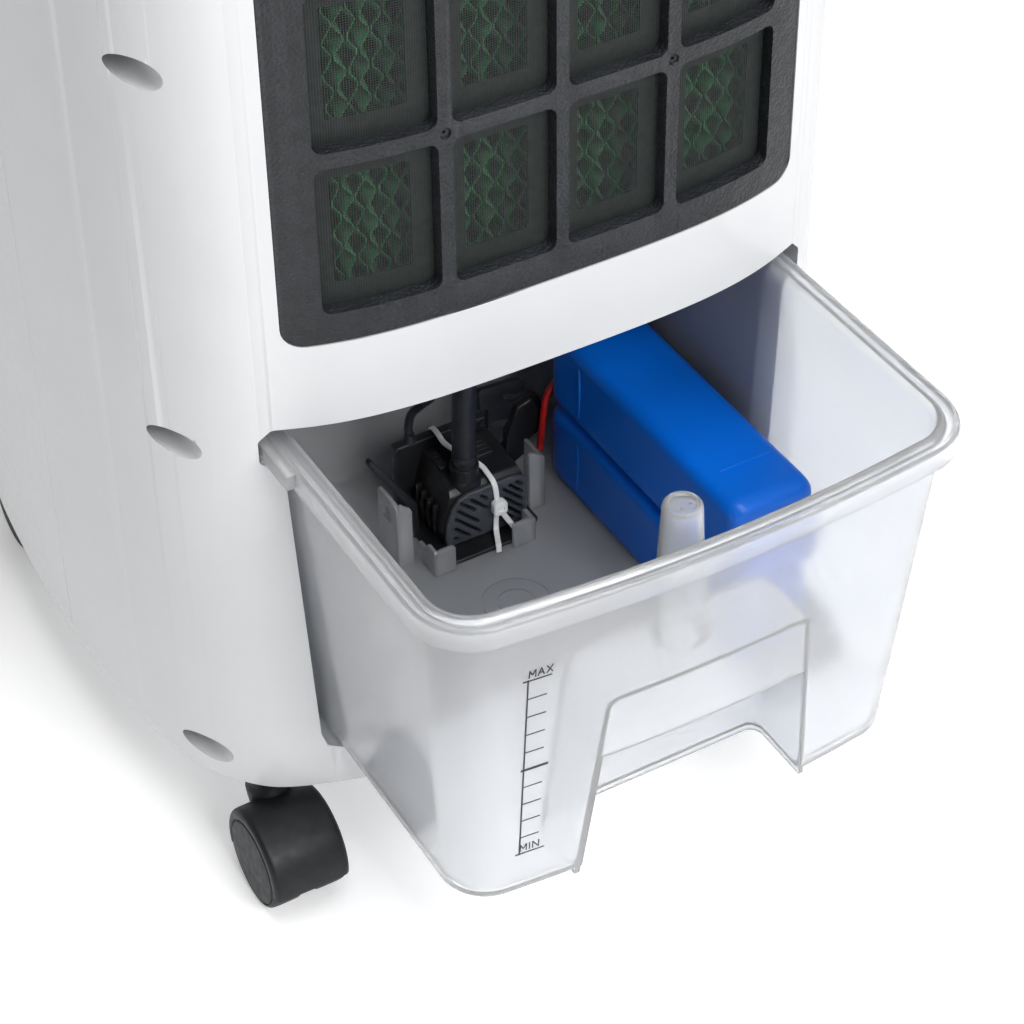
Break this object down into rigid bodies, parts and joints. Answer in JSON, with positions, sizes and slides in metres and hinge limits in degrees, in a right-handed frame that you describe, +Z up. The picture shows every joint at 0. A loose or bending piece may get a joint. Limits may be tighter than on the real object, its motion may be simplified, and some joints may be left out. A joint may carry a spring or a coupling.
{
  "type": "portable evaporative cooler",
  "caption": "Portable evaporative cooler on casters with a rear filter panel over a pull-out frosted water tank that holds a pump and ice packs.",
  "frame": {"origin": "on the floor under the centre of the whole object's box, with the tank drawer drawn open as at rest", "axes": "+Z up; +Y towards the rear face with the filter panel and the tank drawer; -Y towards the air outlet; +X to the left of a person who faces the rear"},
  "size_m": [0.376, 0.525, 0.7718],
  "materials": {
    "white_shell": "glossy white",
    "liner_grey": "satin",
    "charcoal": "fine leather grain",
    "black_plastic": "satin",
    "panel_gloss": "gloss",
    "button_grey": "satin",
    "frosted_tank": "frosted translucent polypropylene",
    "ice_blue": "satin",
    "pad_green": "porous corrugated paper",
    "mesh_black": "fine woven",
    "hose_rubber": "satin",
    "tie_white": "satin",
    "lead_red": "satin",
    "motor_steel": "satin"
  },
  "bodies": {
    "housing": {"rear_shell": "white_shell", "front_shell": "white_shell", "base_pan": "white_shell", "bay_liner": "liner_grey", "top_cover": "white_shell", "control_panel": "panel_gloss", "outlet_frame": "charcoal", "cooling_pad": "pad_green", "pad_carrier": "white_shell", "water_tray": "liner_grey", "blower_housing": "liner_grey", "fan_motor": "motor_steel", "mains_gland": "black_plastic", "pump_hose": "hose_rubber", "pump_cable": "hose_rubber"},
    "filter_panel": {"filter_frame": "charcoal", "filter_mesh": "mesh_black"},
    "tank": {"tank": "frosted_tank", "pump_base": "black_plastic", "pump_body": "black_plastic", "pump_grille": "black_plastic", "pump_bracket": "black_plastic", "cable_tie": "tie_white", "float_lead": "lead_red"},
    "ice_packs": {"ice_pack_1": "ice_blue", "ice_pack_2": "ice_blue"},
    "blower": {"blower_wheel": "black_plastic"},
    "louvre_1": {"louvre_1": "white_shell"},
    "louvre_2": {"louvre_2": "white_shell"},
    "louvre_3": {"louvre_3": "white_shell"},
    "louvre_4": {"louvre_4": "white_shell"},
    "louvre_5": {"louvre_5": "white_shell"},
    "vane_1": {"vane_1": "charcoal"},
    "vane_2": {"vane_2": "charcoal"},
    "vane_3": {"vane_3": "charcoal"},
    "vane_4": {"vane_4": "charcoal"},
    "vane_5": {"vane_5": "charcoal"},
    "vane_6": {"vane_6": "charcoal"},
    "button_1": {"button_1": "button_grey"},
    "button_2": {"button_2": "button_grey"},
    "button_3": {"button_3": "button_grey"},
    "button_4": {"button_4": "button_grey"},
    "button_5": {"button_5": "button_grey"},
    "caster_1": {"caster_1_hood": "black_plastic"},
    "caster_1_roll": {"caster_1_wheel": "black_plastic"},
    "caster_2": {"caster_2_hood": "black_plastic"},
    "caster_2_roll": {"caster_2_wheel": "black_plastic"},
    "caster_3": {"caster_3_hood": "black_plastic"},
    "caster_3_roll": {"caster_3_wheel": "black_plastic"},
    "caster_4": {"caster_4_hood": "black_plastic"},
    "caster_4_roll": {"caster_4_wheel": "black_plastic"}
  },
  "joints": [
    {"name": "tank_slide", "type": "slide", "parent": "housing", "child": "tank", "axis": [0, 1, 0], "range_m": [-0.138, 0.03], "deforming": ["pump_hose", "pump_cable"]},
    {"name": "ice_pack_lift", "type": "slide", "parent": "tank", "child": "ice_packs", "axis": [0, 0, 1], "range_m": [0, 0.06]},
    {"name": "filter_pull", "type": "slide", "parent": "housing", "child": "filter_panel", "axis": [0, 1, 0], "range_m": [0, 0.06]},
    {"name": "blower_spin", "type": "hinge", "parent": "housing", "child": "blower", "pos_m": [0, -0.06845, 0.44], "axis": [0, 1, 0], "continuous": true},
    {"name": "louvre_tilt_1", "type": "hinge", "parent": "housing", "child": "louvre_1", "pos_m": [0, -0.23645, 0.577], "axis": [1, 0, 0], "range_deg": [-30, 30]},
    {"name": "louvre_tilt_2", "type": "hinge", "parent": "housing", "child": "louvre_2", "pos_m": [0, -0.23645, 0.601], "axis": [1, 0, 0], "range_deg": [-30, 30]},
    {"name": "louvre_tilt_3", "type": "hinge", "parent": "housing", "child": "louvre_3", "pos_m": [0, -0.23645, 0.625], "axis": [1, 0, 0], "range_deg": [-30, 30]},
    {"name": "louvre_tilt_4", "type": "hinge", "parent": "housing", "child": "louvre_4", "pos_m": [0, -0.23645, 0.649], "axis": [1, 0, 0], "range_deg": [-30, 30]},
    {"name": "louvre_tilt_5", "type": "hinge", "parent": "housing", "child": "louvre_5", "pos_m": [0, -0.23645, 0.673], "axis": [1, 0, 0], "range_deg": [-30, 30]},
    {"name": "vane_swing_1", "type": "hinge", "parent": "housing", "child": "vane_1", "pos_m": [-0.09, -0.20845, 0.625], "axis": [0, 0, 1], "range_deg": [-35, 35]},
    {"name": "vane_swing_2", "type": "hinge", "parent": "housing", "child": "vane_2", "pos_m": [-0.054, -0.20845, 0.625], "axis": [0, 0, 1], "range_deg": [-35, 35]},
    {"name": "vane_swing_3", "type": "hinge", "parent": "housing", "child": "vane_3", "pos_m": [-0.018, -0.20845, 0.625], "axis": [0, 0, 1], "range_deg": [-35, 35]},
    {"name": "vane_swing_4", "type": "hinge", "parent": "housing", "child": "vane_4", "pos_m": [0.018, -0.20845, 0.625], "axis": [0, 0, 1], "range_deg": [-35, 35]},
    {"name": "vane_swing_5", "type": "hinge", "parent": "housing", "child": "vane_5", "pos_m": [0.054, -0.20845, 0.625], "axis": [0, 0, 1], "range_deg": [-35, 35]},
    {"name": "vane_swing_6", "type": "hinge", "parent": "housing", "child": "vane_6", "pos_m": [0.09, -0.20845, 0.625], "axis": [0, 0, 1], "range_deg": [-35, 35]},
    {"name": "button_press_1", "type": "slide", "parent": "housing", "child": "button_1", "axis": [0, 0, 1], "range_m": [-0.0012, 0], "stiffness_N_per_m": 400},
    {"name": "button_press_2", "type": "slide", "parent": "housing", "child": "button_2", "axis": [0, 0, 1], "range_m": [-0.0012, 0], "stiffness_N_per_m": 400},
    {"name": "button_press_3", "type": "slide", "parent": "housing", "child": "button_3", "axis": [0, 0, 1], "range_m": [-0.0012, 0], "stiffness_N_per_m": 400},
    {"name": "button_press_4", "type": "slide", "parent": "housing", "child": "button_4", "axis": [0, 0, 1], "range_m": [-0.0012, 0], "stiffness_N_per_m": 400},
    {"name": "button_press_5", "type": "slide", "parent": "housing", "child": "button_5", "axis": [0, 0, 1], "range_m": [-0.0012, 0], "stiffness_N_per_m": 400},
    {"name": "caster_swivel_1", "type": "hinge", "parent": "housing", "child": "caster_1", "pos_m": [0.146, 0.08355, 0.06], "axis": [0, 0, 1], "continuous": true},
    {"name": "caster_roll_1", "type": "hinge", "parent": "caster_1", "child": "caster_1_roll", "pos_m": [0.146, 0.10555, 0.0245], "axis": [1, 0, 0], "continuous": true},
    {"name": "caster_swivel_2", "type": "hinge", "parent": "housing", "child": "caster_2", "pos_m": [0.146, -0.22445, 0.06], "axis": [0, 0, 1], "continuous": true},
    {"name": "caster_roll_2", "type": "hinge", "parent": "caster_2", "child": "caster_2_roll", "pos_m": [0.146, -0.20245, 0.0245], "axis": [1, 0, 0], "continuous": true},
    {"name": "caster_swivel_3", "type": "hinge", "parent": "housing", "child": "caster_3", "pos_m": [-0.146, 0.08355, 0.06], "axis": [0, 0, 1], "continuous": true},
    {"name": "caster_roll_3", "type": "hinge", "parent": "caster_3", "child": "caster_3_roll", "pos_m": [-0.146, 0.10555, 0.0245], "axis": [1, 0, 0], "continuous": true},
    {"name": "caster_swivel_4", "type": "hinge", "parent": "housing", "child": "caster_4", "pos_m": [-0.146, -0.22445, 0.06], "axis": [0, 0, 1], "continuous": true},
    {"name": "caster_roll_4", "type": "hinge", "parent": "caster_4", "child": "caster_4_roll", "pos_m": [-0.146, -0.20245, 0.0245], "axis": [1, 0, 0], "continuous": true}
  ],
  "couplings": [
    {"joint": "louvre_tilt_2", "follows": "louvre_tilt_1", "ratio": 1},
    {"joint": "louvre_tilt_3", "follows": "louvre_tilt_1", "ratio": 1},
    {"joint": "louvre_tilt_4", "follows": "louvre_tilt_1", "ratio": 1},
    {"joint": "louvre_tilt_5", "follows": "louvre_tilt_1", "ratio": 1},
    {"joint": "vane_swing_2", "follows": "vane_swing_1", "ratio": 1},
    {"joint": "vane_swing_3", "follows": "vane_swing_1", "ratio": 1},
    {"joint": "vane_swing_4", "follows": "vane_swing_1", "ratio": 1},
    {"joint": "vane_swing_5", "follows": "vane_swing_1", "ratio": 1},
    {"joint": "vane_swing_6", "follows": "vane_swing_1", "ratio": 1}
  ]
}
